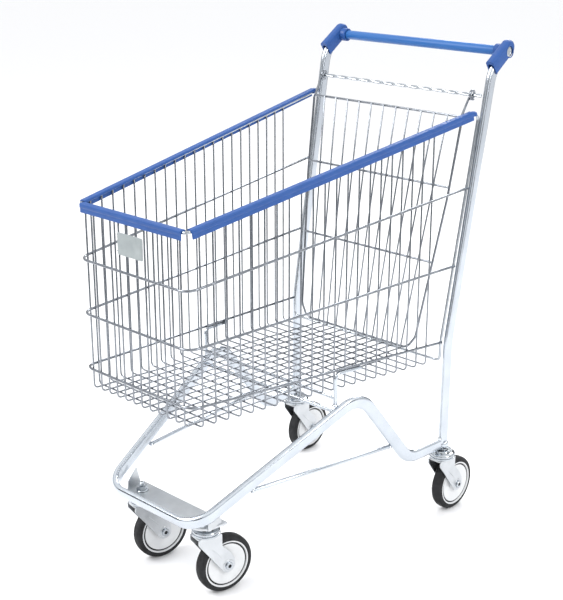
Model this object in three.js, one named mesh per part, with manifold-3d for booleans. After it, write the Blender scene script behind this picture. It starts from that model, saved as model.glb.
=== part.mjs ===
// A supermarket basket trolley: a wire basket on a bent oval-tube chassis, a push handle between two rear
// posts, a rear gate that swings into the basket, and four swivelling casters.
// Millimetres. +Z is up, the handle is at +Y, the basket's narrow front is at -Y, and Z = 0 is the floor.
import * as THREE from "three";
import { mergeVertices } from "three/addons/utils/BufferGeometryUtils.js";
import Module from "manifold-3d";

const wasm = await Module();
wasm.setup();

// ---------------------------------------------------------------- driving dimensions
const GAP = 0.3; // clearance between neighbouring pieces

// Casters
const WHEEL_R = 62.5;
const WHEEL_WIDTH = 26;
const HUB_R = 51.5;
const TRAIL = 41; // the axle's distance behind the swivel axis
const FORK_TOP = 141;
const FORK_PLATE = 3;
const FORK_SIDE_GAP = 2;
const RACE_TOP = 161; // top of the swivel's ball race
const RACE_R = 29;
const AXLE_R = 5;
const STEM_R = 6.5;
const FRONT_CASTER = { x: 98.7, y: -349.8, turn: -11 };
const REAR_CASTER = { x: 227.6, y: 263.3, turn: 0 };
const PLATE_TOP = 167;
const FRONT_STEM = { seat: PLATE_TOP + GAP, nutTop: 178.5, tip: 186.5 };
const REAR_STEM = { seat: RACE_TOP + GAP, nutTop: 166.4, tip: 166.7 };

// Basket. Its side walls are upright planes that spread towards the rear.
const FRONT_Y = -431.4;
const WALL_X = 153.9; // half width of the wall at FRONT_Y
const WALL_SPREAD = 0.0985; // growth of that half width per millimetre of y
const FLOOR_Z = 410.4; // floor height at FRONT_Y
const FLOOR_FALL = 0.049;
const RIM_Z = 792.6;
const RIM_RISE = 0.1645;
const RINGS = [
  { z: 683.3, rise: 0.1058 },
  { z: 571, rise: 0.0303 },
  { z: 455.8, rise: -0.0486 },
];
const UPRIGHTS = { first: -403.1, pitch: 30.2, count: 21 };
const FRONT_UPRIGHTS = { pitch: 24.8, count: 12 };
const FLOOR_WIRES = { pitch: 2 * FRONT_UPRIGHTS.pitch, count: 6 };
const HOOK_R = 9.5; // bend where the uprights turn in under the floor
const HOOK_RISE = 17; // height of the floor wires' upturned ends
const THIN_WIRE = 3.5;
const RING_WIRE = 5.2;
const EDGE_WIRE_R = 3.2;
const RIM_CORNER_R = 9;
const RING_CORNER_R = 27;
const RING_SPLIT_Y = FRONT_Y + 22; // side rings start here, where the corner bend ends
const PROFILE = { height: 19, width: 15, rearY: 313.5, frontX: 145, sideY: -422 };

// Rear posts: oval tube, upright at the foot, leaning back above KNEE_Z
const POST = { long: 26, short: 13, footX: 228, topX: 235.8, footZ: 167, y: 263.3 };
const KNEE_Z = 418.6;
const LEAN = 0.179;
const POST_TO_WIRE = 16.7; // the edge wire runs this far in front of the post's centre

// Handle
const HANDLE_X = 235;
const BRACKET_ANGLE = THREE.MathUtils.degToRad(34.7);
const BRACKET_END = { y: 422.5, z: 1045.4, r: 16.4 };
const BRACKET_WIDTH = 20;
const BRACKET_LENGTH = 67; // from the mouth to the centre of the rounded end
const HANDLE_SETBACK = 7.6; // the handle's axis lies this far before the rounded end's centre
const HANDLE_TUBE_R = 8.5;
const GRIP_R = 10.3;
const GRIP_HALF = 209;

// Chassis: oval tube, long side square to the plane of the two rails
const TUBE = { long: 28, short: 14 };
const FRONT_BAR = { y: -410.4, z: 187.9 };
const TIE_R = 4.6;
const SUPPORT = { y: -72.5, footZ: 363.5, reach: 70 };

// Gate: a flat welded flap in a plane parallel to the leaning posts
const GATE = { y: 215.7, z: 399.3, lean: 0.168, topZ: 912.4, crossZ: [762.6, 597.6], wire: 5.2 };
const HINGE = { y: 343.9, z: 953.4, r: 5.6, half: 228 };
const EYES = { left: -221, right: 204 }; // x of the gate's eyes on the hinge bar

// ---------------------------------------------------------------- materials
const material = (color, roughness, metalness) => new THREE.MeshStandardMaterial({ color, roughness, metalness });
const ZINC = material(0xc9d0d6, 0.28, 1);
const WIRE = material(0xbcc3ca, 0.25, 1);
const BRIGHT = material(0xd6dbe0, 0.2, 1);
const BLUE = material(0x2f62c0, 0.4, 0);
const GRIP_BLUE = material(0x3f7ccb, 0.45, 0);
const TYRE = material(0x2a2c2f, 0.8, 0);
const HUB = material(0xe4e7ea, 0.45, 0);
const PLATE = material(0xc3cacb, 0.4, 0.6);

// ---------------------------------------------------------------- helpers
const V = (x, y, z) => new THREE.Vector3(x, y, z);
const wallX = (y) => WALL_X + WALL_SPREAD * (y - FRONT_Y);
const floorZ = (y) => FLOOR_Z - FLOOR_FALL * (y - FRONT_Y);
const rimZ = (y) => RIM_Z + RIM_RISE * (y - FRONT_Y);
const ringZ = (ring, y) => ring.z + ring.rise * (y - FRONT_Y);
const railX = (y) => 215.1 + 0.21 * y; // the chassis rails spread and rise towards the rear
const railZ = (y) => 378.6 + 0.4647 * y;
const postY = (z) => POST.y + LEAN * Math.max(0, z - KNEE_Z);
const wireY = (z) => postY(z) - POST_TO_WIRE;

const trolley = new THREE.Group();

function solid(geometry) {
  const bare = geometry.index ? geometry.toNonIndexed() : geometry.clone();
  bare.deleteAttribute("normal");
  bare.deleteAttribute("uv");
  const merged = mergeVertices(bare, 1e-3);
  return new wasm.Manifold(
    new wasm.Mesh({
      numProp: 3,
      vertProperties: merged.attributes.position.array,
      triVerts: new Uint32Array(merged.index.array),
    }),
  );
}

const join = (geometries) => geometries.map(solid).reduce((a, b) => a.add(b));

function part(name, shape, look, parent = trolley) {
  let geometry = shape;
  if (!shape.isBufferGeometry) {
    const cut = shape.getMesh();
    geometry = new THREE.BufferGeometry();
    geometry.setAttribute("position", new THREE.BufferAttribute(cut.vertProperties, 3));
    geometry.setIndex(new THREE.BufferAttribute(cut.triVerts, 1));
    geometry.computeVertexNormals();
  }
  const mesh = new THREE.Mesh(geometry, look);
  mesh.name = name;
  parent.add(mesh);
  return mesh;
}

// Points of a line whose corners are rounded by arcs. corners is a list of [point, bend radius].
function rounded(corners, largestStep = 15) {
  const points = [corners[0][0]];
  for (let i = 1; i < corners.length - 1; i++) {
    const [corner, radius] = corners[i];
    const back = corners[i - 1][0].clone().sub(corner).normalize();
    const on = corners[i + 1][0].clone().sub(corner).normalize();
    const turn = Math.PI - back.angleTo(on);
    const start = corner.clone().addScaledVector(back, radius * Math.tan(turn / 2));
    const toCentre = back.clone().add(on).normalize();
    const centre = corner.clone().addScaledVector(toCentre, radius / Math.cos(turn / 2));
    const across = start.clone().sub(centre);
    const steps = Math.max(2, Math.ceil(THREE.MathUtils.radToDeg(turn) / largestStep));
    for (let k = 0; k <= steps; k++) {
      const angle = (turn * k) / steps;
      const point = centre.clone().addScaledVector(across, Math.cos(angle));
      points.push(point.addScaledVector(back, -radius * Math.sin(angle)));
    }
  }
  points.push(corners.at(-1)[0]);
  return points;
}

// A path through given points. Its section keeps upright along `up`, or doesn't twist when there is none.
class BentPath extends THREE.Curve {
  constructor(points, up = null) {
    super();
    this.points = points;
    this.up = up;
  }
  getSpacedPoints() {
    return this.points;
  }
  computeFrenetFrames() {
    const { points, up } = this;
    const runs = points.slice(1).map((p, i) => p.clone().sub(points[i]).normalize());
    const tangents = points.map((_, i) => {
      const sum = V(0, 0, 0);
      if (i > 0) sum.add(runs[i - 1]);
      if (i < runs.length) sum.add(runs[i]);
      return sum.normalize();
    });
    let last = Math.abs(tangents[0].z) < 0.9 ? V(0, 0, 1) : V(1, 0, 0);
    const normals = tangents.map((tangent) => {
      if (up) return up.clone().cross(tangent).normalize();
      last = last.clone().addScaledVector(tangent, -last.dot(tangent)).normalize();
      return last;
    });
    const binormals = tangents.map((tangent, i) => tangent.clone().cross(normals[i]));
    return { tangents, normals, binormals };
  }
}

function sweep(section, points, up = null) {
  const extrudePath = new BentPath(points, up);
  return new THREE.ExtrudeGeometry(section, { steps: points.length - 1, extrudePath });
}

function polygon(radius, sides, start = 0) {
  const at = (k) => start + (2 * Math.PI * k) / sides;
  const points = [];
  for (let k = 0; k < sides; k++) points.push(new THREE.Vector2(radius * Math.cos(at(k)), radius * Math.sin(at(k))));
  return new THREE.Shape(points);
}

// An oval tube's outline, its long side along the section's y. Each end is a half circle of `steps` sides.
function oval(short, long, steps = 4) {
  const r = short / 2;
  const straight = long / 2 - r;
  const points = [];
  for (let k = 0; k <= steps; k++) {
    const angle = (Math.PI * k) / steps;
    points.push(new THREE.Vector2(r * Math.cos(angle), straight + r * Math.sin(angle)));
  }
  return new THREE.Shape([...points, ...points.map((p) => p.clone().negate())]);
}

// A closed lathe about Z from [radius, z] points
function turned(profile, segments) {
  const points = profile.map(([r, z]) => new THREE.Vector2(r, z));
  points.push(points[0].clone());
  return new THREE.LatheGeometry(points, segments).rotateX(Math.PI / 2);
}

const box = (w, d, h, x, y, z) => new THREE.BoxGeometry(w, d, h).translate(x, y, z);

// A flat strip that follows a line in its own plane, from depth `low` to depth `high`
function strip(points, width, low, high) {
  const side = (sign) =>
    points.map((p, i) => {
      const into = p.clone().sub(points[Math.max(0, i - 1)]);
      const out = points[Math.min(points.length - 1, i + 1)].clone().sub(p);
      const first = i > 0 ? into.normalize() : out.clone().normalize();
      const second = i < points.length - 1 ? out.normalize() : first.clone();
      const normal = V(-first.y - second.y, first.x + second.x, 0).normalize();
      const reach = width / 2 / normal.dot(V(-first.y, first.x, 0));
      return new THREE.Vector2(p.x, p.y).addScaledVector(normal, sign * reach);
    });
  const outline = new THREE.Shape([...side(-1), ...side(1).reverse()]);
  return new THREE.ExtrudeGeometry(outline, { depth: high - low, bevelEnabled: false }).translate(0, 0, low);
}

// A group whose local x, y and z run along the given world directions
function plane(origin, x, y) {
  const group = new THREE.Group();
  group.position.copy(origin);
  group.setRotationFromMatrix(new THREE.Matrix4().makeBasis(x, y, x.clone().cross(y)));
  trolley.add(group);
  return group;
}

// Both hands of a piece that is designed on the right
function bothSides(name, shape, look, parent = trolley) {
  part(name + "_right", shape, look, parent);
  part(name + "_left", shape, look, parent).scale.x = -1;
}

// ---------------------------------------------------------------- chassis
function chassis() {
  const half = [
    [V(0, FRONT_BAR.y, FRONT_BAR.z), 0],
    [V(railX(FRONT_BAR.y) + 4, FRONT_BAR.y, FRONT_BAR.z), 56],
    [V(railX(-14), -14, railZ(-14)), 58],
    [V(218.8, 146, 174.5), 56],
    [V(227.6, POST.y - POST.long / 2 - 6 * GAP, POST.footZ + 9), 0],
  ];
  const right = rounded(half, 18);
  const left = right.slice(1).map((p) => V(-p.x, p.y, p.z));
  const across = V(0, railZ(0) - railZ(1), 1).normalize();
  part("chassis_tube", sweep(oval(TUBE.short, TUBE.long), [...left.reverse(), ...right], across), ZINC);

  const tie = [V(155.6, -273.8, 229), V(211.2, 86.3, 220)];
  bothSides("tie_rod", sweep(polygon(TIE_R, 8), tie), ZINC);
}

function rearPosts() {
  const along = V(0, Math.cos(BRACKET_ANGLE), Math.sin(BRACKET_ANGLE));
  const end = V(HANDLE_X, BRACKET_END.y, BRACKET_END.z).addScaledVector(along, -HANDLE_SETBACK - 13);
  const bend = end.clone().addScaledVector(along, -45);
  const foot = V(POST.footX, POST.y, POST.footZ);
  const knee = V(POST.footX + 1, POST.y, KNEE_Z);
  const centreline = rounded([[foot, 0], [knee, 190], [bend, 70], [end, 0]], 9);
  bothSides("rear_post", sweep(oval(POST.short, POST.long), centreline, V(0, 1, 0)), ZINC);
  return centreline;
}

// ---------------------------------------------------------------- front caster plate
function frontCasterPlate() {
  const thick = 4;
  const rearY = -320.6;
  const frontY = -388;
  const outline = new THREE.Shape([
    new THREE.Vector2(-84, frontY),
    new THREE.Vector2(84, frontY),
    new THREE.Vector2(108, -382),
    new THREE.Vector2(123, -370),
    new THREE.Vector2(131, -330),
    new THREE.Vector2(131, rearY),
    new THREE.Vector2(-131, rearY),
    new THREE.Vector2(-131, -330),
    new THREE.Vector2(-123, -370),
    new THREE.Vector2(-108, -382),
  ]);
  for (const side of [-1, 1]) {
    const hole = polygon(STEM_R + GAP, 16).getPoints().map((p) => p.add(new THREE.Vector2(side * FRONT_CASTER.x, FRONT_CASTER.y)));
    outline.holes.push(new THREE.Path(hole));
  }
  const flat = new THREE.ExtrudeGeometry(outline, { depth: thick, bevelEnabled: false }).translate(0, 0, PLATE_TOP - thick);
  const flange = (side) => {
    const shape = new THREE.Shape([
      new THREE.Vector2(-368, 0),
      new THREE.Vector2(-331, 0),
      new THREE.Vector2(-342, 45),
      new THREE.Vector2(-366, 18),
    ]);
    const plate = new THREE.ExtrudeGeometry(shape, { depth: 3, bevelEnabled: false });
    plate.rotateX(Math.PI / 2).rotateZ(Math.PI / 2);
    return plate.translate(side * 125.5 - 1.5, 0, PLATE_TOP - thick);
  };
  // The front lip slopes up to the underside of the front bar
  const slope = new THREE.Shape([
    new THREE.Vector2(frontY - 3, PLATE_TOP - thick),
    new THREE.Vector2(frontY + 3, PLATE_TOP - thick),
    new THREE.Vector2(frontY + 3, PLATE_TOP),
    new THREE.Vector2(frontY - 1.5, PLATE_TOP),
    new THREE.Vector2(frontY - 13.2, PLATE_TOP + 9.6),
    new THREE.Vector2(frontY - 15.9, PLATE_TOP + 6.6),
  ]);
  const lip = new THREE.ExtrudeGeometry(slope, { depth: 2 * 84, bevelEnabled: false });
  lip.rotateX(Math.PI / 2).rotateZ(Math.PI / 2).translate(-84, 0, 0);
  part("front_caster_plate", join([flat, lip, flange(-1), flange(1)]), ZINC);
}

// ---------------------------------------------------------------- basket
function sideGrilles() {
  const along = V(WALL_SPREAD, 1, 0).normalize();
  const stretch = 1 / along.y;
  const at = (y, z) => V((y - FRONT_Y) * stretch, z, 0);
  const wires = [];
  for (let k = 0; k < UPRIGHTS.count; k++) {
    const y = UPRIGHTS.first + UPRIGHTS.pitch * k;
    const foot = at(y, floorZ(y) + HOOK_RISE + GAP);
    const top = at(y, rimZ(y) - EDGE_WIRE_R - 2 * GAP);
    wires.push(strip([foot, top], THIN_WIRE, -THIN_WIRE / 2, THIN_WIRE / 2));
  }
  for (const ring of RINGS) {
    const rearY = wireY(ringZ(ring, 260)) - EDGE_WIRE_R - GAP;
    const run = [at(RING_SPLIT_Y, ringZ(ring, RING_SPLIT_Y)), at(rearY, ringZ(ring, rearY))];
    wires.push(strip(run, RING_WIRE, THIN_WIRE / 2, THIN_WIRE / 2 + RING_WIRE));
  }
  const grille = join(wires);
  const right = plane(V(WALL_X, FRONT_Y, 0), along, V(0, 0, 1));
  part("basket_grille_right", grille, WIRE, right);
  const mirror = new THREE.Group();
  mirror.scale.x = -1;
  trolley.add(mirror);
  mirror.add(right.clone(false));
  part("basket_grille_left", grille, WIRE, mirror.children[0]);
}

function frontGrille() {
  const ringOffset = (THIN_WIRE + RING_WIRE) / 2 - 0.3;
  const halfWidth = WALL_X + ringOffset;
  const y = FRONT_Y - ringOffset;
  const wires = [];
  const { count, pitch } = FRONT_UPRIGHTS;
  for (let k = 0; k < count; k++) {
    const x = pitch * (k - (count - 1) / 2);
    const foot = FLOOR_Z + HOOK_RISE + GAP;
    const top = RIM_Z - EDGE_WIRE_R - 2 * GAP;
    wires.push(box(THIN_WIRE, THIN_WIRE, top - foot, x, FRONT_Y, (top + foot) / 2));
  }
  for (const ring of RINGS) {
    const endY = RING_SPLIT_Y - 4 * GAP;
    const side = (sign) => V(sign * (wallX(endY) + ringOffset), endY, ringZ(ring, endY));
    const corner = (sign) => V(sign * halfWidth, y, ring.z);
    const bends = [[side(-1), 0], [corner(-1), RING_CORNER_R], [corner(1), RING_CORNER_R], [side(1), 0]];
    const path = rounded(bends, 22);
    wires.push(sweep(polygon(RING_WIRE / Math.SQRT2, 4, Math.PI / 4), path, V(0, 0, 1)));
  }
  part("basket_grille_front", join(wires), WIRE);
}

// The floor lies in a plane that falls gently to the rear; its wires' ends turn up to meet the grilles.
function basketFloor() {
  const down = V(0, 1, -FLOOR_FALL).normalize();
  const floor = plane(V(0, FRONT_Y, FLOOR_Z), V(1, 0, 0), down);
  const along = (y) => (y - FRONT_Y) / down.y;
  const half = THIN_WIRE / 2;
  const wires = [];
  for (let k = 0; k < UPRIGHTS.count; k++) {
    const y = UPRIGHTS.first + UPRIGHTS.pitch * k;
    const x = wallX(y);
    const tray = rounded([[V(-x, HOOK_RISE, 0), 0], [V(-x, 0, 0), HOOK_R], [V(x, 0, 0), HOOK_R], [V(x, HOOK_RISE, 0), 0]], 45);
    wires.push(strip(tray, THIN_WIRE, -half, half).rotateX(Math.PI / 2).translate(0, along(y), 0));
  }
  const { count, pitch } = FLOOR_WIRES;
  const rear = along(wireY(floorZ(246)) - EDGE_WIRE_R - 2 * GAP);
  for (let k = 0; k < count; k++) {
    const x = pitch * (k - (count - 1) / 2);
    const hook = rounded([[V(0, HOOK_RISE - THIN_WIRE, 0), 0], [V(0, 0, 0), HOOK_R], [V(rear, 0, 0), 0]], 45);
    const wire = strip(hook, THIN_WIRE, -half, half).rotateX(Math.PI / 2).rotateZ(Math.PI / 2);
    wires.push(wire.translate(x, 0, THIN_WIRE));
  }
  part("basket_floor", join(wires), WIRE, floor);
}

// One wire: the rim, then down the front of both posts, and across under the floor's rear edge
function edgeWire() {
  const bottomZ = floorZ(246) + 1;
  const right = (y, z) => V(wallX(y), y, z);
  const rimEnd = (POST.y - POST_TO_WIRE + LEAN * (RIM_Z - KNEE_Z - RIM_RISE * FRONT_Y)) / (1 - LEAN * RIM_RISE);
  const corners = [
    [V(20, wireY(bottomZ), bottomZ), 0],
    [right(wireY(bottomZ), bottomZ), 12],
    [right(wireY(KNEE_Z), KNEE_Z), 165],
    [right(rimEnd, rimZ(rimEnd)), 12],
    [right(FRONT_Y, RIM_Z), RIM_CORNER_R],
  ];
  const mirrored = corners.map(([p, r]) => [V(-p.x, p.y, p.z), r]).reverse();
  const loop = sweep(polygon(EDGE_WIRE_R, 6), rounded([...corners, ...mirrored], 30));
  const sleeve = turned([[0, -26], [EDGE_WIRE_R + 0.6, -26], [EDGE_WIRE_R + 0.6, 26], [0, 26]], 12);
  const closing = sleeve.rotateY(Math.PI / 2).translate(0, wireY(bottomZ), bottomZ);
  part("edge_wire", join([loop, closing]), BRIGHT);
}

// The plastic profile: a rounded bead over a flat skirt, pushed over the rim wire through its open underside
function rimProfiles() {
  const { height, width, rearY, frontX, sideY } = PROFILE;
  const w = width / 2;
  const slot = EDGE_WIRE_R + GAP;
  const section = new THREE.Shape([
    new THREE.Vector2(-slot, -height / 2),
    new THREE.Vector2(-slot, slot),
    new THREE.Vector2(slot, slot),
    new THREE.Vector2(slot, -height / 2),
    new THREE.Vector2(w - 1.2, -height / 2),
    new THREE.Vector2(w - 1.2, 0),
    new THREE.Vector2(w, 1.5),
    new THREE.Vector2(w, height / 2 - 3),
    new THREE.Vector2(w - 3, height / 2),
    new THREE.Vector2(-w + 3, height / 2),
    new THREE.Vector2(-w, height / 2 - 3),
    new THREE.Vector2(-w, 1.5),
    new THREE.Vector2(-w + 1.2, 0),
    new THREE.Vector2(-w + 1.2, -height / 2),
  ]);
  const up = V(0, 0, 1);
  const side = [V(wallX(sideY), sideY, rimZ(sideY)), V(wallX(rearY), rearY, rimZ(rearY))];
  bothSides("rim_profile", sweep(section, side, up), BLUE);
  part("rim_profile_front", sweep(section, [V(-frontX, FRONT_Y, RIM_Z), V(frontX, FRONT_Y, RIM_Z)], up), BLUE);
}

function tagPlate() {
  const y = FRONT_Y - THIN_WIRE / 2 - GAP;
  const outline = new THREE.Shape([
    new THREE.Vector2(-38, 716),
    new THREE.Vector2(35, 716),
    new THREE.Vector2(35, 760),
    new THREE.Vector2(-38, 760),
  ]);
  const plate = new THREE.ExtrudeGeometry(outline, { depth: 1.5, bevelEnabled: false });
  part("tag_plate", plate.rotateX(Math.PI / 2).translate(0, y, 0), PLATE);
}

// Two bent legs stand on the rails, rise outside the walls and run rearward under the lowest ring. One
// cross rod joins them under the floor, and a second rod ties the rails below it.
function supportFrame() {
  const r = 4;
  const y = SUPPORT.y;
  const tube = polygon(r, 6);
  const topX = (atY) => wallX(atY) + THIN_WIRE / 2 + r + GAP;
  const topZ = (atY) => ringZ(RINGS[2], atY) - RING_WIRE / 2 - r - GAP;
  const legs = [1, -1].map((side) => {
    const corners = [
      [V(side * topX(y), y, SUPPORT.footZ), 0],
      [V(side * topX(y), y, topZ(y)), 8],
      [V(side * topX(y + SUPPORT.reach), y + SUPPORT.reach, topZ(y + SUPPORT.reach)), 0],
    ];
    return sweep(tube, rounded(corners, 25));
  });
  const rod = (z, half) => sweep(tube, [V(-half, y, z), V(half, y, z)]);
  part("basket_support_frame", join([...legs, rod(floorZ(y) - 14, topX(y))]), ZINC);
  part("rail_cross_rod", rod(railZ(y) + 3, railX(y) - TUBE.short / 2 - 5 * GAP), ZINC);
}

// ---------------------------------------------------------------- gate
function gate() {
  const up = V(0, GATE.lean, 1).normalize();
  const flap = plane(V(0, GATE.y, GATE.z), V(1, 0, 0), up);
  const height = (z) => (z - GATE.z) / up.z;
  const frame = GATE.wire;
  const topHalf = 211.5;
  const half = { 762.6: 204.5, 597.6: 188.5 };
  const sides = [
    [V(-topHalf, height(GATE.topZ), 0), 0],
    [V(-203, height(740), 0), 350],
    [V(-186, height(575), 0), 350],
    [V(-171, height(428), 0), 26],
    [V(-152, 0, 0), 26],
  ];
  const other = sides.map(([p, r]) => [V(-p.x, p.y, p.z), r]).reverse();
  const wires = [strip(rounded([...sides, ...other], 15), frame, -frame / 2, frame / 2)];
  for (const z of GATE.crossZ) {
    const x = half[z];
    wires.push(strip([V(-x, height(z), 0), V(x, height(z), 0)], frame, -frame / 2, frame / 2));
  }
  const topX = topHalf + frame / 2 + 1;
  wires.push(strip([V(-topX, height(GATE.topZ), 0), V(topX, height(GATE.topZ), 0)], frame, -frame / 2, frame / 2));
  const inner = 11;
  for (let k = 0; k < inner; k++) {
    const share = (k - (inner - 1) / 2) / ((inner + 1) / 2);
    const foot = V(share * 165, 0, 0);
    const top = V(share * topHalf, height(GATE.topZ), 0);
    wires.push(strip([foot, top], THIN_WIRE, frame / 2, frame / 2 + THIN_WIRE));
  }
  part("gate", join([...wires, ...hangers(flap)]), WIRE, flap);
}

// Two hangers rise from the gate's top wire to eyes that turn on the hinge bar
function hangers(flap) {
  const wireR = GATE.wire / 2;
  const eyeR = HINGE.r + wireR + 1.2;
  const hingeAt = V(0, HINGE.y, HINGE.z).sub(flap.position).applyQuaternion(flap.quaternion.clone().invert());
  const topY = (GATE.topZ - GATE.z) * Math.hypot(1, GATE.lean);
  return [[EYES.left, -209], [EYES.right, 209]].flatMap(([x, footX]) => {
    const centre = V(x, hingeAt.y, hingeAt.z);
    const eye = new THREE.TorusGeometry(eyeR, wireR, 5, 10).rotateY(Math.PI / 2).translate(...centre.toArray());
    const foot = V(footX, topY, 0);
    const toEye = centre.clone().sub(foot).setX(0).normalize();
    return [eye, sweep(polygon(wireR, 6), [foot, centre.addScaledVector(toEye, -eyeR)])];
  });
}

function hingeBar() {
  const bar = turned([[0, -HINGE.half], [HINGE.r, -HINGE.half], [HINGE.r, HINGE.half], [0, HINGE.half]], 12);
  part("gate_hinge_bar", bar.rotateY(Math.PI / 2).translate(0, HINGE.y, HINGE.z), BRIGHT);
}

// ---------------------------------------------------------------- handle
function handle(postLine) {
  const along = V(0, Math.cos(BRACKET_ANGLE), Math.sin(BRACKET_ANGLE));
  const end = V(HANDLE_X, BRACKET_END.y, BRACKET_END.z);
  const axis = end.clone().addScaledVector(along, -HANDLE_SETBACK);
  const mouth = end.clone().addScaledVector(along, -BRACKET_LENGTH).add(V(0, 1, -1.5));
  const rod = (r, from, to, sides) => {
    const cylinder = turned([[0, from], [r, from], [r, to], [0, to]], sides);
    return cylinder.rotateY(Math.PI / 2).translate(0, axis.y, axis.z);
  };

  const w = BRACKET_WIDTH / 2;
  const sleeve = solid(sweep(oval(BRACKET_WIDTH, 2 * BRACKET_END.r), [mouth, end], V(0, 1, 0)));
  const roundEnd = solid(rod(BRACKET_END.r, HANDLE_X - w, HANDLE_X + w, 16).translate(0, end.y - axis.y, end.z - axis.z));
  const collar = solid(rod(GRIP_R + 4.2, HANDLE_X - w - 15, HANDLE_X, 14));
  const postSpace = solid(sweep(oval(POST.short + 2 * GAP, POST.long + 2 * GAP), extended(postLine), V(0, 1, 0)));
  const tubeSpace = solid(rod(HANDLE_TUBE_R + GAP, 0, HANDLE_X + w - 3.5, 12));
  const gripSpace = solid(rod(GRIP_R + 2 * GAP, 0, HANDLE_X - w - 10, 12));
  const window = solid(rod(11.8, HANDLE_X + w - 4, HANDLE_X + w + 5, 12));
  const shell = sleeve.add(roundEnd).add(collar);
  const bracket = [postSpace, tubeSpace, gripSpace, window].reduce((left, tool) => left.subtract(tool), shell);
  bothSides("handle_bracket", bracket, BLUE);

  const plugInner = HANDLE_X + w - 4.2;
  part("handle_tube", rod(HANDLE_TUBE_R, -plugInner + GAP, plugInner - GAP, 12), ZINC);
  const bore = HANDLE_TUBE_R + GAP;
  const sleeveLine = [[bore, -GRIP_HALF], [GRIP_R, -GRIP_HALF], [GRIP_R, GRIP_HALF], [bore, GRIP_HALF]];
  part("handle_grip", turned(sleeveLine, 12).rotateY(Math.PI / 2).translate(0, axis.y, axis.z), GRIP_BLUE);
  bothSides("handle_plug", rod(HANDLE_TUBE_R + 1.6, HANDLE_X + w - 3.4, HANDLE_X + w - 1.4, 12), BRIGHT);
}

// The same centreline, a little longer at its upper end
function extended(points) {
  const last = points.at(-1);
  const run = last.clone().sub(points.at(-2)).normalize();
  return [...points.slice(0, -1), last.clone().addScaledVector(run, GAP)];
}

// ---------------------------------------------------------------- casters
function wheelTurned(profile, segments) {
  return turned(profile, segments).rotateY(Math.PI / 2).translate(0, TRAIL, WHEEL_R);
}

function caster(name, { x, y, turn }, stemTop) {
  const group = new THREE.Group();
  group.position.set(x, y, 0);
  group.rotation.z = THREE.MathUtils.degToRad(turn);
  trolley.add(group);

  const half = WHEEL_WIDTH / 2;
  const rim = HUB_R - 1.5;
  const tread = [
    [rim + GAP, -half + 0.5],
    [WHEEL_R - 5, -half + 0.5],
    [WHEEL_R, -half + 6],
    [WHEEL_R, half - 6],
    [WHEEL_R - 5, half - 0.5],
    [rim + GAP, half - 0.5],
  ];
  part(name + "_tyre", wheelTurned(tread, 24), TYRE, group);

  const bore = AXLE_R + GAP;
  const hub = [
    [bore, -half],
    [15, -half],
    [rim, -half + 1.5],
    [rim, half - 1.5],
    [15, half],
    [bore, half],
  ];
  part(name + "_hub", wheelTurned(hub, 24), HUB, group);

  part(name + "_fork", fork(), ZINC, group);
  part(name + "_axle_bolt", axleBolt(), BRIGHT, group);

  const headBottom = FORK_TOP + GAP;
  const race = [
    [STEM_R + GAP, headBottom],
    [RACE_R, headBottom],
    [RACE_R, headBottom + 11],
    [RACE_R - 8, RACE_TOP],
    [STEM_R + GAP, RACE_TOP],
  ];
  part(name + "_swivel_head", turned(race, 16), BRIGHT, group);
  part(name + "_stem", stem(stemTop), BRIGHT, group);
}

// Top plate and two legs of pressed steel, open to the front and the rear
function fork() {
  const legX = WHEEL_WIDTH / 2 + FORK_SIDE_GAP;
  const plate = FORK_PLATE;
  const backY = 27;
  const frontY = -28;
  const bossR = 16;
  const leg = new THREE.Shape();
  leg.moveTo(frontY, FORK_TOP);
  leg.lineTo(frontY, FORK_TOP - 8);
  leg.lineTo(TRAIL - bossR * 0.86, WHEEL_R - bossR * 0.5);
  leg.absarc(TRAIL, WHEEL_R, bossR, Math.PI * 1.17, Math.PI * 2, false);
  leg.lineTo(backY + 20, FORK_TOP - 54);
  leg.lineTo(backY, FORK_TOP - 32);
  leg.lineTo(backY, FORK_TOP);
  const legs = [-legX - plate, legX].map((x) => {
    const sheet = new THREE.ExtrudeGeometry(leg, { depth: plate, bevelEnabled: false, curveSegments: 3 });
    return sheet.rotateX(Math.PI / 2).rotateZ(Math.PI / 2).translate(x, 0, 0);
  });
  const width = 2 * (legX + plate);
  const top = box(width, backY - frontY, plate, 0, (backY + frontY) / 2, FORK_TOP - plate / 2);
  const shankHole = wheelTurned([[0, -width], [AXLE_R + GAP, -width], [AXLE_R + GAP, width], [0, width]], 8);
  return join([...legs, top]).subtract(solid(shankHole));
}

function axleBolt() {
  const seat = WHEEL_WIDTH / 2 + FORK_SIDE_GAP + FORK_PLATE + GAP;
  const head = 4;
  const bolt = [
    [0, -seat - head],
    [7, -seat - head],
    [7, -seat],
    [AXLE_R, -seat],
    [AXLE_R, seat],
    [7, seat],
    [7, seat + head],
    [0, seat + head],
  ];
  return wheelTurned(bolt, 8);
}

// Shank that the ball race turns on, with a washer, a nut and the thread's tip above them
function stem({ seat, nutTop, tip }) {
  const profile = [
    [0, FORK_TOP + 2 * GAP],
    [STEM_R, FORK_TOP + 2 * GAP],
    [STEM_R, seat],
    [13.5, seat],
    [13.5, seat + 2.5],
    [11, seat + 2.5],
    [11, nutTop],
    [5.5, nutTop],
    [5.5, tip],
    [0, tip],
  ];
  return turned(profile, 8);
}

// ---------------------------------------------------------------- assembly
chassis();
const postLine = rearPosts();
frontCasterPlate();
sideGrilles();
frontGrille();
basketFloor();
edgeWire();
rimProfiles();
tagPlate();
supportFrame();
gate();
hingeBar();
handle(postLine);
for (const [side, sign] of [["right", 1], ["left", -1]]) {
  caster("front_" + side, { ...FRONT_CASTER, x: sign * FRONT_CASTER.x }, FRONT_STEM);
  caster("rear_" + side, { ...REAR_CASTER, x: sign * REAR_CASTER.x }, REAR_STEM);
}

export default trolley;
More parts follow.
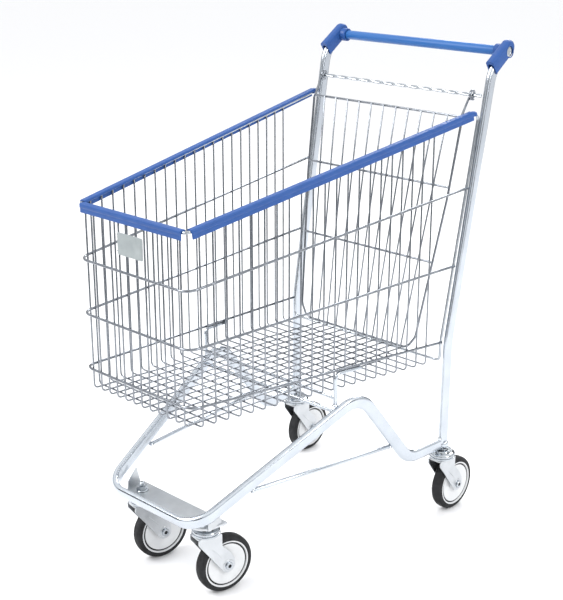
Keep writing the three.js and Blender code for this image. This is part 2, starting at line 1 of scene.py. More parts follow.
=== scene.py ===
"""Looks of a supermarket basket trolley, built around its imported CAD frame.

Lengths are in millimetres until a mesh is made, and angles are in degrees unless a name says otherwise.
The front of the trolley faces -Y, and right is +X, as seen by someone who looks at the front.
"""
import math

import bmesh
import bpy
import numpy as np
from mathutils import Matrix, Vector


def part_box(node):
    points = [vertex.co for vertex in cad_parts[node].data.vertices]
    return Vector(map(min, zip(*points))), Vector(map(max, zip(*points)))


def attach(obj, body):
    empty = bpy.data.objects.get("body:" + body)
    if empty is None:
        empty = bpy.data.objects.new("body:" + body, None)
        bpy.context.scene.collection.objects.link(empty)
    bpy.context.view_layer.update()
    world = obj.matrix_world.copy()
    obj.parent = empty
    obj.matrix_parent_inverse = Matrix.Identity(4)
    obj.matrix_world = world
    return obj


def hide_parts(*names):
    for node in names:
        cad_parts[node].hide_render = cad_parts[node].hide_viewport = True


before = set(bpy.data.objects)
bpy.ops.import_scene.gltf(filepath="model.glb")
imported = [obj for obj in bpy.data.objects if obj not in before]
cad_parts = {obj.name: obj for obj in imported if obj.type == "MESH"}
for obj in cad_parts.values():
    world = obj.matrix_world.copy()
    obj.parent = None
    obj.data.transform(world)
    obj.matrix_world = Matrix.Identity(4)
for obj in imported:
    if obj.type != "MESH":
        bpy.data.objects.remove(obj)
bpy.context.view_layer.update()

MM = 0.001
UP = np.array([0.0, 0.0, 1.0])
SIDES = {"right": 1, "left": -1}

# ------------------------------------------------------------------ driving dimensions, as in the CAD
# Basket: upright walls that spread towards the rear, a floor that falls and a rim that rises
FRONT_Y, WALL_X, WALL_SPREAD = -431.4, 153.9, 0.0985
FLOOR_Z, FLOOR_FALL = 410.4, 0.049
RIM_Z, RIM_RISE = 792.6, 0.1645
RINGS = [(683.3, 0.1058), (571.0, 0.0303), (455.8, -0.0486)]  # height at the front, rise
RING_END_Y = 260.0  # about where the rings meet the posts
UPRIGHT_FIRST, UPRIGHT_PITCH, UPRIGHTS = -403.1, 30.2, 21
FRONT_PITCH, FRONT_UPRIGHTS = 24.8, 12
FLOOR_END_Y = 246.0
HOOK_R, RING_CORNER_R = 9.5, 27.0
THIN_R, RING_R, EDGE_R = 1.85, 2.8, 3.2

# Rim profiles
PROFILE_HALF_WIDTH, PROFILE_HALF_HEIGHT = 7.5, 9.5
PROFILE_REAR_Y, PROFILE_FRONT_Y, PROFILE_FRONT_X = 313.5, -422.0, 145.0
PROFILE_SAG = 4.5  # how much lower than the rim wire the profiles' middle lies at the front

# Rear posts and the handle
POST_Y, POST_FOOT_X, POST_FOOT_Z = 263.3, 228.0, 167.0
POST_LONG, POST_SHORT, KNEE_Z, LEAN, POST_TO_WIRE = 26.0, 13.0, 418.6, 0.179, 16.7
HANDLE_X, BRACKET_ANGLE = 235.0, math.radians(34.7)
BRACKET_END_Y, BRACKET_END_Z, BRACKET_END_R = 422.5, 1045.4, 16.4
BRACKET_WIDTH, BRACKET_LENGTH, HANDLE_SETBACK = 20.0, 67.0, 7.6
BRACKET_LIFT = 4.0  # the body's middle lies above the handle's axis
WINDOW_R = 11.8
GRIP_R, GRIP_HALF = 10.4, 213.0
HANDLE_TUBE_R, HANDLE_TUBE_HALF = 8.5, 241.0

# Chassis: the rails spread and rise towards the rear
RAIL_X, RAIL_SPREAD = 215.1, 0.21
RAIL_Z, RAIL_RISE = 378.6, 0.4647
TUBE_LONG, TUBE_SHORT, FRONT_BAR_Y, FRONT_BAR_Z = 28.0, 14.0, -410.4, 187.9
HUMP_Y = -14.0
REAR_BEND = (218.8, 146.0, 174.5)
REAR_END_X = 227.6
TIE_R, TIE_FRONT, TIE_REAR = 4.6, (155.6, -273.8, 229.0), (211.8, 89.5, 219.9)
SUPPORT_R, SUPPORT_Y, SUPPORT_REACH, SUPPORT_FOOT_Z = 4.0, -72.5, 70.0, 361.0

# Gate and hinge bar. A corner of the gate's side is (x, z, bend radius)
GATE_Y, GATE_Z, GATE_LEAN, GATE_TOP_Z = 215.7, 399.3, 0.168, 912.4
GATE_R, GATE_TOP_X, GATE_FOOT_X, GATE_UPRIGHTS = 2.65, 211.5, 165.0, 11
GATE_SIDE = [(GATE_TOP_X, GATE_TOP_Z, 6), (203, 740, 350), (186, 575, 350), (171, 428, 26), (152, GATE_Z, 26)]
GATE_CROSS_WIRES = [(204.5, 762.6), (188.5, 597.6)]  # half width, height
GATE_EYES = [(-221, -209), (204, 209)]  # x of the eye on the hinge bar, x of the hanger's foot
HINGE_Y, HINGE_Z, HINGE_HALF, HINGE_R = 343.9, 953.4, 227.0, 5.6

# Casters
WHEEL_R, WHEEL_HALF, TRAIL, FORK_TOP, RACE_TOP = 62.5, 13.0, 41.0, 141.0, 161.0
FORK_THICK, FORK_INNER_X = 2.8, WHEEL_HALF + 2.4
FRONT_CASTER, REAR_CASTER = (98.7, -349.8, -11.0), (227.6, 263.3, 0.0)  # x, y, turn
FRONT_STEM, REAR_STEM = (167.3, 178.5, 186.5), (161.3, 166.4, 166.7)  # seat, nut's top, tip


def wall_x(y):
    return WALL_X + WALL_SPREAD * (y - FRONT_Y)


def floor_z(y):
    return FLOOR_Z - FLOOR_FALL * (y - FRONT_Y)


def rim_z(y):
    return RIM_Z + RIM_RISE * (y - FRONT_Y)


def wire_y(z):
    return POST_Y + LEAN * max(0.0, z - KNEE_Z) - POST_TO_WIRE


def rail_x(y):
    return RAIL_X + RAIL_SPREAD * y


def rail_z(y):
    return RAIL_Z + RAIL_RISE * y


# ------------------------------------------------------------------ materials
def new_material(name):
    mat = bpy.data.materials.new(name)
    mat.use_nodes = True
    return mat, mat.node_tree.nodes, mat.node_tree.links, mat.node_tree.nodes["Principled BSDF"]


def noise(nodes, links, scale, detail=4.0, stretch=(1, 1, 1)):
    """A 3-D noise that sits on the object, `scale` features a metre, longer where stretch is small."""
    where = nodes.new("ShaderNodeTexCoord")
    mapping = nodes.new("ShaderNodeMapping")
    mapping.inputs["Scale"].default_value = stretch
    texture = nodes.new("ShaderNodeTexNoise")
    texture.inputs["Scale"].default_value = scale
    texture.inputs["Detail"].default_value = detail
    links.new(where.outputs["Object"], mapping.inputs["Vector"])
    links.new(mapping.outputs["Vector"], texture.inputs["Vector"])
    return texture.outputs["Fac"]


def ramp(nodes, links, value, low, high, start=0.3, end=0.7):
    """A colour ramp between two colours (or two greys) as `value` goes from start to end."""
    node = nodes.new("ShaderNodeValToRGB")
    for element, place, colour in zip(node.color_ramp.elements, (start, end), (low, high)):
        element.position = place
        element.color = (*colour, 1) if isinstance(colour, tuple) else (colour, colour, colour, 1)
    links.new(value, node.inputs["Fac"])
    return node.outputs["Color"]


def bump(nodes, links, bsdf, height, strength, distance):
    node = nodes.new("ShaderNodeBump")
    node.inputs["Strength"].default_value = strength
    node.inputs["Distance"].default_value = distance
    links.new(height, node.inputs["Height"])
    links.new(node.outputs["Normal"], bsdf.inputs["Normal"])


def finish_material(name, low, high, rough, metallic=0.0, colour_scale=40.0, grain=900.0, grain_bump=0.05,
                    stretch=(1, 1, 1), specular=0.5):
    """Colour that drifts between two tones, roughness that varies too, and a fine grain in the surface."""
    mat, nodes, links, bsdf = new_material(name)
    bsdf.inputs["Metallic"].default_value = metallic
    bsdf.inputs["Specular IOR Level"].default_value = specular
    drift = noise(nodes, links, colour_scale, 5.0, stretch)
    links.new(ramp(nodes, links, drift, low, high), bsdf.inputs["Base Color"])
    wear = noise(nodes, links, colour_scale * 2.3, 3.0, stretch)
    links.new(ramp(nodes, links, wear, rough[0], rough[1], 0.35, 0.65), bsdf.inputs["Roughness"])
    bump(nodes, links, bsdf, noise(nodes, links, grain, 2.0, stretch), grain_bump, 0.0004)
    return mat


ZINC = finish_material("zinc_tube", (0.53, 0.57, 0.62), (0.59, 0.63, 0.68), rough=(0.18, 0.24), metallic=1.0,
                       colour_scale=26, grain=500, grain_bump=0.012)
WIRE = finish_material("zinc_wire", (0.22, 0.235, 0.26), (0.31, 0.33, 0.36), rough=(0.14, 0.26), metallic=1.0,
                       colour_scale=60, grain=900, grain_bump=0.03)
BRIGHT = finish_material("bright_zinc", (0.40, 0.43, 0.46), (0.54, 0.57, 0.60), rough=(0.10, 0.22),
                         metallic=1.0, colour_scale=50, grain=900, grain_bump=0.02)
FORK = finish_material("pressed_zinc", (0.53, 0.55, 0.57), (0.60, 0.62, 0.64), rough=(0.28, 0.38),
                       metallic=1.0, colour_scale=34, grain=500, grain_bump=0.02)
BLUE = finish_material("blue_profile", (0.018, 0.070, 0.250), (0.023, 0.084, 0.285), rough=(0.34, 0.46),
                       colour_scale=30, grain=2600, grain_bump=0.16, specular=0.3)
GRIP = finish_material("blue_grip", (0.022, 0.112, 0.340), (0.028, 0.130, 0.380), rough=(0.30, 0.44),
                       colour_scale=24, grain=1500, grain_bump=0.12, stretch=(0.15, 1, 1), specular=0.35)
TYRE = finish_material("tyre_rubber", (0.010, 0.010, 0.011), (0.022, 0.023, 0.025), rough=(0.62, 0.82),
                       colour_scale=45, grain=1300, grain_bump=0.30, specular=0.3)
HUB = finish_material("hub_plastic", (0.60, 0.61, 0.62), (0.68, 0.69, 0.70), rough=(0.34, 0.48),
                      colour_scale=35, grain=1800, grain_bump=0.10)
# Painted shade: a near-black finish that stands in for the shade in the hub's grooves and in the bolts' hex
# sockets.
RECESS_SHADE = finish_material("recess_painted_shade", (0.012, 0.013, 0.015), (0.03, 0.031, 0.034), rough=(0.40, 0.55),
                       metallic=0.3, colour_scale=60, grain=900, grain_bump=0.1, specular=0.2)
PLATE = finish_material("tag_paint", (0.25, 0.28, 0.285), (0.31, 0.34, 0.345), rough=(0.35, 0.50),
                        colour_scale=40, grain=1600, grain_bump=0.12)


# ------------------------------------------------------------------ mesh helpers
def build(name, pieces, material, body, replaces=(), smooth_angle=40, bevel=0.0):
    """One object from [(vertices, faces)] in millimetres. It rides on a body and may stand for CAD nodes."""
    vertices, faces = [], []
    for points, polygons in pieces:
        start = len(vertices)
        vertices.extend(tuple(float(c) * MM for c in p) for p in points)
        faces.extend(tuple(i + start for i in polygon) for polygon in polygons)
    mesh = bpy.data.meshes.new(name)
    mesh.from_pydata(vertices, [], faces)
    mesh.validate()
    made = bmesh.new()
    made.from_mesh(mesh)
    bmesh.ops.recalc_face_normals(made, faces=made.faces)
    made.to_mesh(mesh)
    made.free()
    obj = bpy.data.objects.new(name, mesh)
    bpy.context.scene.collection.objects.link(obj)
    dress(obj, material, smooth_angle, bevel)
    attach(obj, body)
    if replaces:
        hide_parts(*replaces)
    return obj


def dress(obj, material, smooth_angle=40, bevel=0.0):
    """Material, soft edges and smooth shading on an object."""
    obj.data.materials.clear()
    obj.data.materials.append(material)
    if bevel:
        soft = obj.modifiers.new("soft_edges", "BEVEL")
        soft.width = bevel * MM
        soft.segments = 3
        soft.limit_method = "ANGLE"
        soft.angle_limit = math.radians(35)
    obj.data.shade_smooth()
    obj.data.set_sharp_from_angle(angle=math.radians(smooth_angle))


def unit(v):
    v = np.asarray(v, float)
    return v / np.linalg.norm(v)


def rounded(corners, step=7.0):
    """Points of a line whose corners are rounded by arcs. corners is a list of (point, bend radius)."""
    points = [np.asarray(corners[0][0], float)]
    for i in range(1, len(corners) - 1):
        corner, radius = np.asarray(corners[i][0], float), corners[i][1]
        back = unit(np.asarray(corners[i - 1][0], float) - corner)
        on = unit(np.asarray(corners[i + 1][0], float) - corner)
        turn = math.pi - math.acos(float(np.clip(back @ on, -1, 1)))
        start = corner + back * radius * math.tan(turn / 2)
        centre = corner + unit(back + on) * radius / math.cos(turn / 2)
        steps = max(2, math.ceil(math.degrees(turn) / step))
        for k in range(steps + 1):
            angle = turn * k / steps
            points.append(centre + (start - centre) * math.cos(angle) - back * radius * math.sin(angle))
    points.append(np.asarray(corners[-1][0], float))
    return points


def mirrored(corners):
    """The same corners on the other side of the trolley, in the opposite order."""
    return [((-p[0], p[1], p[2]), bend) for p, bend in reversed(corners)]


def circle(radius, sides=12):
    return [(radius * math.cos(2 * math.pi * k / sides), radius * math.sin(2 * math.pi * k / sides))
            for k in range(sides)]


def oval(short, long, steps=12):
    r = short / 2
    half = [(r * math.cos(math.pi * k / steps), long / 2 - r + r * math.sin(math.pi * k / steps))
            for k in range(steps + 1)]
    return half + [(-x, -y) for x, y in half]


def sweep(path, section, up=None, round_ends=0.0, closed=False):
    """A section carried along a path. Its y stays along `up`, or it doesn't twist when there is none."""
    path = [np.asarray(p, float) for p in path]
    count = len(path)
    tangents = []
    for i in range(count):
        before = path[i - 1] if closed or i else None
        after = path[(i + 1) % count] if closed or i < count - 1 else None
        into = unit(path[i] - before) if before is not None else 0
        out = unit(after - path[i]) if after is not None else 0
        tangents.append(unit(into + out))
    last = UP if abs(tangents[0][2]) < 0.9 else np.array([1.0, 0, 0])
    rings = []
    for point, tangent in zip(path, tangents):
        if up is not None:
            normal = unit(np.cross(up, tangent))
        else:
            normal = unit(last - tangent * (last @ tangent))
            last = normal
        rings.append((point, tangent, normal, np.cross(tangent, normal)))
    scales = [(ring, 1.0, 0.0) for ring in rings]
    if round_ends and not closed:
        cap = [(0.35, -1.0), (0.75, -0.7)]
        scales = ([(rings[0], s, d * round_ends) for s, d in cap] + scales
                  + [(rings[-1], s, -d * round_ends) for s, d in reversed(cap)])
    vertices = []
    for (point, tangent, normal, binormal), size, along in scales:
        for x, y in section:
            vertices.append(point + normal * x * size + binormal * y * size + tangent * along)
    n, rows = len(section), len(scales)
    faces = []
    for i in range(rows if closed else rows - 1):
        for k in range(n):
            a, b = i * n + k, i * n + (k + 1) % n
            c, d = ((i + 1) % rows) * n + (k + 1) % n, ((i + 1) % rows) * n + k
            faces.append((a, b, c, d))
    if not closed:
        faces.append(tuple(reversed(range(n))))
        faces.append(tuple(range((rows - 1) * n, rows * n)))
    return vertices, faces


def wire(corners, radius, sides=12, step=12.0):
    return sweep(rounded(corners, step), circle(radius, sides), round_ends=radius * 0.6)


def lathe(profile, segments=64, matrix=Matrix.Identity(4)):
    """A closed profile of (radius, height) points turned about Z, then placed by a matrix."""
    vertices, faces = [], []
    n = len(profile)
    for k in range(segments):
        angle = 2 * math.pi * k / segments
        for r, z in profile:
            place = matrix @ Vector((r * math.cos(angle), r * math.sin(angle), z))
            vertices.append(tuple(place))
    for k in range(segments):
        for i in range(n):
            j = (i + 1) % n
            a, b = k * n + i, k * n + j
            c, d = ((k + 1) % segments) * n + j, ((k + 1) % segments) * n + i
            faces.append((a, b, c, d))
    return vertices, faces


def plate(outline, thickness, matrix):
    """A flat outline (x, y) of one thickness, placed by a matrix."""
    n = len(outline)
    vertices = [tuple(matrix @ Vector((x, y, z))) for z in (0.0, thickness) for x, y in outline]
    faces = [tuple(reversed(range(n))), tuple(range(n, 2 * n))]
    faces += [(k, (k + 1) % n, n + (k + 1) % n, n + k) for k in range(n)]
    return vertices, faces


def soft_plate(outline, thickness, edge, matrix, steps=5):
    """Like plate, with both rims rounded over. outline(inset) gives the outline drawn in by that much."""
    over = [(edge * (1 - math.sin(math.pi / 2 * k / steps)), edge * (1 - math.cos(math.pi / 2 * k / steps)))
            for k in range(steps + 1)]
    rings = over + [(inset, thickness - depth) for inset, depth in reversed(over)]
    vertices = [tuple(matrix @ Vector((x, y, depth))) for inset, depth in rings for x, y in outline(inset)]
    n = len(outline(0))
    faces = [tuple(reversed(range(n))), tuple(range((len(rings) - 1) * n, len(rings) * n))]
    for row in range(len(rings) - 1):
        low, high = row * n, (row + 1) * n
        faces += [(low + k, low + (k + 1) % n, high + (k + 1) % n, high + k) for k in range(n)]
    return vertices, faces


def arc(cx, cy, radius, start, end, steps=10):
    points = []
    for k in range(steps + 1):
        angle = math.radians(start + (end - start) * k / steps)
        points.append((cx + radius * math.cos(angle), cy + radius * math.sin(angle)))
    return points


def along_x(x, y, z):
    """Turns a lathe about Z into one about X, centred at a point."""
    return Matrix.Translation((x, y, z)) @ Matrix.Rotation(math.radians(90), 4, "Y")


def weld(centre, radius, flat=0.6):
    """A small weld bead."""
    profile = [(0.01, -radius * flat), (radius * 0.7, -radius * flat * 0.7), (radius, 0),
               (radius * 0.7, radius * flat * 0.7), (0.01, radius * flat)]
    return lathe(profile, 14, Matrix.Translation(centre))


# ------------------------------------------------------------------ basket
def basket():
    build("basket_hoops", basket_hoops(), WIRE, "frame",
          ["basket_grille_left", "basket_grille_right", "basket_floor"])
    build("basket_long_wires", long_wires(), WIRE, "frame", ["basket_grille_front"])
    build("basket_rings", [ring(height, rise) for height, rise in RINGS], WIRE, "frame")


def basket_hoops():
    """Wires that run down one side wall, across under the floor and up the other wall."""
    hoops = []
    for k in range(UPRIGHTS):
        y = UPRIGHT_FIRST + UPRIGHT_PITCH * k
        x, low, high = wall_x(y), floor_z(y), rim_z(y) - EDGE_R - 1
        corners = [((-x, y, high), 0), ((-x, y, low), HOOK_R), ((x, y, low), HOOK_R), ((x, y, high), 0)]
        hoops.append(wire(corners, THIN_R))
    return hoops


def long_wires():
    """Wires that run down the front wall and back along the floor, on top of the hoops."""
    wires = []
    lift = 2 * THIN_R - 0.4
    rear_y = wire_y(floor_z(FLOOR_END_Y)) - EDGE_R + 1
    for k in range(FRONT_UPRIGHTS):
        x = FRONT_PITCH * (k - (FRONT_UPRIGHTS - 1) / 2)
        corners = [((x, FRONT_Y, RIM_Z - EDGE_R - 1), 0), ((x, FRONT_Y, FLOOR_Z + lift), HOOK_R),
                   ((x, rear_y, floor_z(rear_y) + lift), 0)]
        wires.append(wire(corners, THIN_R))
    return wires


def ring(height, rise):
    """A thicker wire round the outside of the basket, from post to post."""
    out = THIN_R + RING_R - 0.5

    def ring_z(y):
        return height + rise * (y - FRONT_Y)
    end_y = wire_y(ring_z(RING_END_Y)) - EDGE_R + 1.5
    right = [((WALL_X + out, FRONT_Y - out, height), RING_CORNER_R),
             ((wall_x(end_y) + out, end_y, ring_z(end_y)), 0)]
    return wire(mirrored(right) + right, RING_R, 14, 6)


def edge_wire():
    bottom_z = floor_z(FLOOR_END_Y) + 1
    rim_end = (POST_Y - POST_TO_WIRE + LEAN * (RIM_Z - KNEE_Z - RIM_RISE * FRONT_Y)) / (1 - LEAN * RIM_RISE)

    def at(y, z):
        return (wall_x(y), y, z)
    half = [((12, wire_y(bottom_z), bottom_z), 0), (at(wire_y(bottom_z), bottom_z), 12),
            (at(wire_y(KNEE_Z), KNEE_Z), 165), (at(rim_end, rim_z(rim_end)), 12), (at(FRONT_Y, RIM_Z), 9)]
    loop = wire(half + mirrored(half), EDGE_R, 16, 6)
    ferrule = [(EDGE_R - 0.2, -25), (EDGE_R + 0.5, -25.5), (EDGE_R + 0.9, -24), (EDGE_R + 0.9, 24),
               (EDGE_R + 0.5, 25.5), (EDGE_R - 0.2, 25)]
    closing = lathe(ferrule, 28, along_x(0, wire_y(bottom_z), bottom_z))
    build("edge_wire_round", [loop, closing], BRIGHT, "frame", ["edge_wire"])


def profile_section(inner):
    """A rounded bead over a flat outer skirt, open to the basket where the grille wires come up to the rim
    wire. The inner side has the sign `inner` along the section's x."""
    w, h, slot, round_r = PROFILE_HALF_WIDTH, PROFILE_HALF_HEIGHT, EDGE_R + 0.3, 3.4
    lip_y = 3.2
    outer = [(slot, -h), (w - 1.7, -h), (w - 1.2, -h + 0.6), (w - 1.2, -0.4), (w - 0.4, 0.4), (w, 1.6)]
    outer += arc(w - round_r, h - round_r, round_r, 0, 90, 6)
    short = [(slot, lip_y), (w - 1.4, lip_y), (w, lip_y + 1.4)]
    short += arc(w - round_r, h - round_r, round_r, 20, 90, 5)
    section = outer + [(-x, y) for x, y in reversed(short)] + [(-slot, slot + 2.2), (slot, slot + 2.2)]
    return [(-inner * x, y) for x, y in section]


def rim_profiles():
    for side, sign in SIDES.items():
        def at(y, drop=0.0):
            sag = PROFILE_SAG * (PROFILE_REAR_Y - y) / (PROFILE_REAR_Y - PROFILE_FRONT_Y)
            return (sign * wall_x(y), y, rim_z(y) - sag - drop)
        path = [at(y) for y in (PROFILE_FRONT_Y, PROFILE_FRONT_Y + 1.5, PROFILE_REAR_Y - 1.5, PROFILE_REAR_Y)]
        bead_section = [(x * 0.97, y) for x, y in arc(0, 0, PROFILE_HALF_WIDTH, -20, 200, 16)]
        bead_path = [at(PROFILE_REAR_Y - 6, -1.6), at(PROFILE_REAR_Y + 3, -1.6), at(PROFILE_REAR_Y + 9, 0.4)]
        pieces = [sweep(path, profile_section(sign), UP), sweep(bead_path, bead_section, UP)]
        build("rim_profile_%s_look" % side, pieces, BLUE, "frame", ["rim_profile_" + side],
              bevel=0.5)
    ends = (-PROFILE_FRONT_X, 1.5 - PROFILE_FRONT_X, PROFILE_FRONT_X - 1.5, PROFILE_FRONT_X)
    path = [(x, FRONT_Y, RIM_Z - PROFILE_SAG) for x in ends]
    build("rim_profile_front_look", [sweep(path, profile_section(1), UP)], BLUE, "frame",
          ["rim_profile_front"], bevel=0.5)


def tag_plate():
    low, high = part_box("tag_plate")
    w, h = (high.x - low.x) / MM, (high.z - low.z) / MM
    cx, cz, y = (high.x + low.x) / 2 / MM, (high.z + low.z) / 2 / MM, high.y / MM
    face = Matrix.Translation((cx, y, cz)) @ Matrix.Rotation(math.radians(90), 4, "X")

    def card(width, height, r):
        corners = [(width / 2 - r, height / 2 - r, 0), (-width / 2 + r, height / 2 - r, 90),
                   (-width / 2 + r, -height / 2 + r, 180), (width / 2 - r, -height / 2 + r, 270)]
        return [p for px, py, a in corners for p in arc(px, py, r, a, a + 90, 5)]
    raised = face @ Matrix.Translation((0, 0, 1.2))
    cards = [plate(card(w, h, 3.5), 1.4, face), plate(card(w - 7, h - 7, 2.5), 0.7, raised)]
    build("tag_plate_look", cards, PLATE, "frame", ["tag_plate"], bevel=0.3)

    clips = []
    behind = y + 2 * THIN_R + 1.6
    for dx in (-FRONT_PITCH, 0.0, FRONT_PITCH):
        x = round((cx + dx) / FRONT_PITCH - 0.5) * FRONT_PITCH + FRONT_PITCH / 2  # on a grille wire
        for z in (cz - h / 2 + 6, cz + h / 2 - 6):
            hook = [((x - 4.5, y + 0.4, z), 0), ((x - 3.5, behind, z), 1.5),
                    ((x + 3.5, behind, z), 1.5), ((x + 4.5, y + 0.4, z), 0)]
            clips.append(wire(hook, 0.9, 8, 20))
    build("tag_clips", clips, BRIGHT, "frame")


# ------------------------------------------------------------------ chassis and posts
def chassis():
    right = [((0, FRONT_BAR_Y, FRONT_BAR_Z), 0), ((rail_x(FRONT_BAR_Y) + 4, FRONT_BAR_Y, FRONT_BAR_Z), 56),
             ((rail_x(HUMP_Y), HUMP_Y, rail_z(HUMP_Y)), 58), (REAR_BEND, 56),
             ((REAR_END_X, POST_Y - POST_LONG / 2 - 1, POST_FOOT_Z + 9), 0)]
    half = rounded(right, 4)
    left = [p * np.array([-1, 1, 1]) for p in half[1:]]
    across = unit((0, rail_z(0) - rail_z(1), 1))
    tube = sweep(list(reversed(left)) + half, oval(TUBE_SHORT, TUBE_LONG), across)
    build("chassis_tube_smooth", [tube], ZINC, "frame", ["chassis_tube"], smooth_angle=60)

    for side, sign in SIDES.items():
        ends = [(sign * x, y, z) for x, y, z in (TIE_FRONT, TIE_REAR)]
        tie = wire([(ends[0], 0), (ends[1], 0)], TIE_R, 20)
        welds = [weld(end, 6.4, 0.8) for end in ends]
        build("tie_rod_%s_round" % side, [tie] + welds, ZINC, "frame", ["tie_rod_" + side])


def post_line(sign):
    along = np.array([0, math.cos(BRACKET_ANGLE), math.sin(BRACKET_ANGLE)])
    end = np.array([HANDLE_X, BRACKET_END_Y, BRACKET_END_Z]) - along * (HANDLE_SETBACK + 13)
    bend = end - along * 45
    corners = [((POST_FOOT_X, POST_Y, POST_FOOT_Z), 0), ((POST_FOOT_X + 1, POST_Y, KNEE_Z), 190), (bend, 70),
               (end, 0)]
    return [p * np.array([sign, 1, 1]) for p in rounded(corners, 3)]


def posts():
    for side, sign in SIDES.items():
        tube = sweep(post_line(sign), oval(POST_SHORT, POST_LONG), np.array([0.0, 1.0, 0.0]))
        foot = (sign * POST_FOOT_X, POST_Y, POST_FOOT_Z)
        section = [(4, 1), (11.5, 1), (12.2, 2), (12.2, 10), (11, 12), (4, 12)]
        bush = lathe(section, 40, Matrix.Translation(foot))
        build("rear_post_%s_smooth" % side, [tube, bush], ZINC, "frame", ["rear_post_" + side],
              smooth_angle=60)
        seams = []
        for z in (POST_FOOT_Z + 6, POST_FOOT_Z + 22):
            seams.append(weld((sign * (POST_FOOT_X + 0.5), POST_Y - POST_LONG / 2, z), 5.5, 0.7))
        build("foot_weld_" + side, seams, FORK, "frame")


def support_frame():
    """Two legs that stand on the rails and carry the lowest ring, with one cross rod under the floor and a
    second between the rails."""
    r, y = SUPPORT_R, SUPPORT_Y
    height, rise = RINGS[2]

    def top(sign, at_y):
        x = wall_x(at_y) + THIN_R + r
        return (sign * x, at_y, height + rise * (at_y - FRONT_Y) - RING_R - r)
    wires = []
    for sign in (1, -1):
        foot_x = top(sign, y)[0]
        corners = [((foot_x, y, SUPPORT_FOOT_Z), 0), (top(sign, y), 12), (top(sign, y + SUPPORT_REACH), 0)]
        wires.append(wire(corners, r, 18, 8))
        wires.append(weld((foot_x, y, SUPPORT_FOOT_Z + 1.5), 6.5, 0.6))
    under, half = floor_z(y) - 14, top(1, y)[0]
    wires.append(wire([((-half, y, under), 0), ((half, y, under), 0)], r, 18))
    build("support_frame_round", wires, ZINC, "frame", ["basket_support_frame"])

    rod_z, half = rail_z(y) + 3, rail_x(y) - TUBE_SHORT / 2 + 0.5
    rod = wire([((-half, y, rod_z), 0), ((half, y, rod_z), 0)], r, 18)
    build("rail_cross_rod_round", [rod], ZINC, "frame", ["rail_cross_rod"])


# ------------------------------------------------------------------ gate
def gate_point(x, z, forward=0.0):
    """A point in the plane of the leaning gate, or so far forward of it, into the basket."""
    normal = unit((0, -1, GATE_LEAN))
    return np.array([x, GATE_Y + GATE_LEAN * (z - GATE_Z), z]) + normal * forward


def gate():
    r = GATE_R
    right = [(gate_point(x, z), bend) for x, z, bend in GATE_SIDE]
    left = [(gate_point(-x, z), bend) for x, z, bend in reversed(GATE_SIDE)]
    middle = (gate_point(0, GATE_TOP_Z), 0)
    wires = [sweep(rounded([middle] + right + left + [middle], 8), circle(r, 14), round_ends=1)]
    for x, z in GATE_CROSS_WIRES:
        wires.append(sweep([gate_point(-x, z), gate_point(x, z)], circle(r, 14)))
    forward = r + THIN_R - 0.4
    for k in range(GATE_UPRIGHTS):
        share = (k - (GATE_UPRIGHTS - 1) / 2) / ((GATE_UPRIGHTS + 1) / 2)
        foot = gate_point(share * GATE_FOOT_X, GATE_Z - 1, forward)
        top = gate_point(share * GATE_TOP_X, GATE_TOP_Z + 1, forward)
        wires.append(sweep([foot, top], circle(THIN_R), round_ends=1))
    for eye_x, foot_x in GATE_EYES:
        wires.append(hanger(eye_x, foot_x, r))
    build("gate_round", wires, WIRE, "gate", ["gate"])


def hanger(eye_x, foot_x, r):
    """A wire from the gate's top wire that winds a little more than once round the hinge bar."""
    eye = HINGE_R + r + 1.0
    foot = gate_point(foot_x, GATE_TOP_Z)
    to_foot = unit(np.array([0, foot[1] - HINGE_Y, foot[2] - HINGE_Z]))
    start = math.atan2(to_foot[2], to_foot[1])
    turns, steps = 1.15, 40
    points = [foot]
    for k in range(steps + 1):
        angle = start + 2 * math.pi * turns * k / steps
        x = eye_x + (k / steps - 0.5) * 2 * r * turns
        points.append((x, HINGE_Y + eye * math.cos(angle), HINGE_Z + eye * math.sin(angle)))
    return sweep(points, circle(r, 12), round_ends=1)


def hinge_bar():
    """Two wires twisted together."""
    strand, pitch, apart, steps = 2.5, 70.0, 1.5, 220
    wires = []
    for phase in (0.0, math.pi):
        points = []
        for k in range(steps + 1):
            x = -HINGE_HALF + 2 * HINGE_HALF * k / steps
            angle = phase + 2 * math.pi * x / pitch
            points.append((x, HINGE_Y + apart * math.cos(angle), HINGE_Z + apart * math.sin(angle)))
        wires.append(sweep(points, circle(strand, 12), round_ends=1))
    build("hinge_bar_twisted", wires, BRIGHT, "frame", ["gate_hinge_bar"])


# ------------------------------------------------------------------ handle
def handle():
    along = np.array([0, math.cos(BRACKET_ANGLE), math.sin(BRACKET_ANGLE)])
    across = np.array([0, -math.sin(BRACKET_ANGLE), math.cos(BRACKET_ANGLE)])
    end = np.array([0, BRACKET_END_Y, BRACKET_END_Z])
    axis = end - along * HANDLE_SETBACK
    lying = along_x(0, axis[1], axis[2])
    r, half = GRIP_R, GRIP_HALF
    sleeve = [(8.9, -half), (r - 0.5, -half), (r, -half + 1.2), (r, half - 1.2), (r - 0.5, half), (8.9, half)]
    build("grip_round", [lathe(sleeve, 64, lying)], GRIP, "frame", ["handle_grip"])
    r, half = HANDLE_TUBE_R, HANDLE_TUBE_HALF
    tube = [(r - 1.1, -half), (r, -half), (r, half), (r - 1.1, half)]
    build("handle_tube_round", [lathe(tube, 48, lying)], ZINC, "frame", ["handle_tube"])
    for side, sign in SIDES.items():
        bracket_body(side, sign, along, across, end, axis)
        bracket_fittings(side, sign, axis)


def facing_out(sign, x, axis):
    """Turns a lathe about Z into one about the handle's axis, with its +Z away from the trolley's middle."""
    return along_x(x, axis[1], axis[2]) @ Matrix.Diagonal((1, 1, sign, 1))


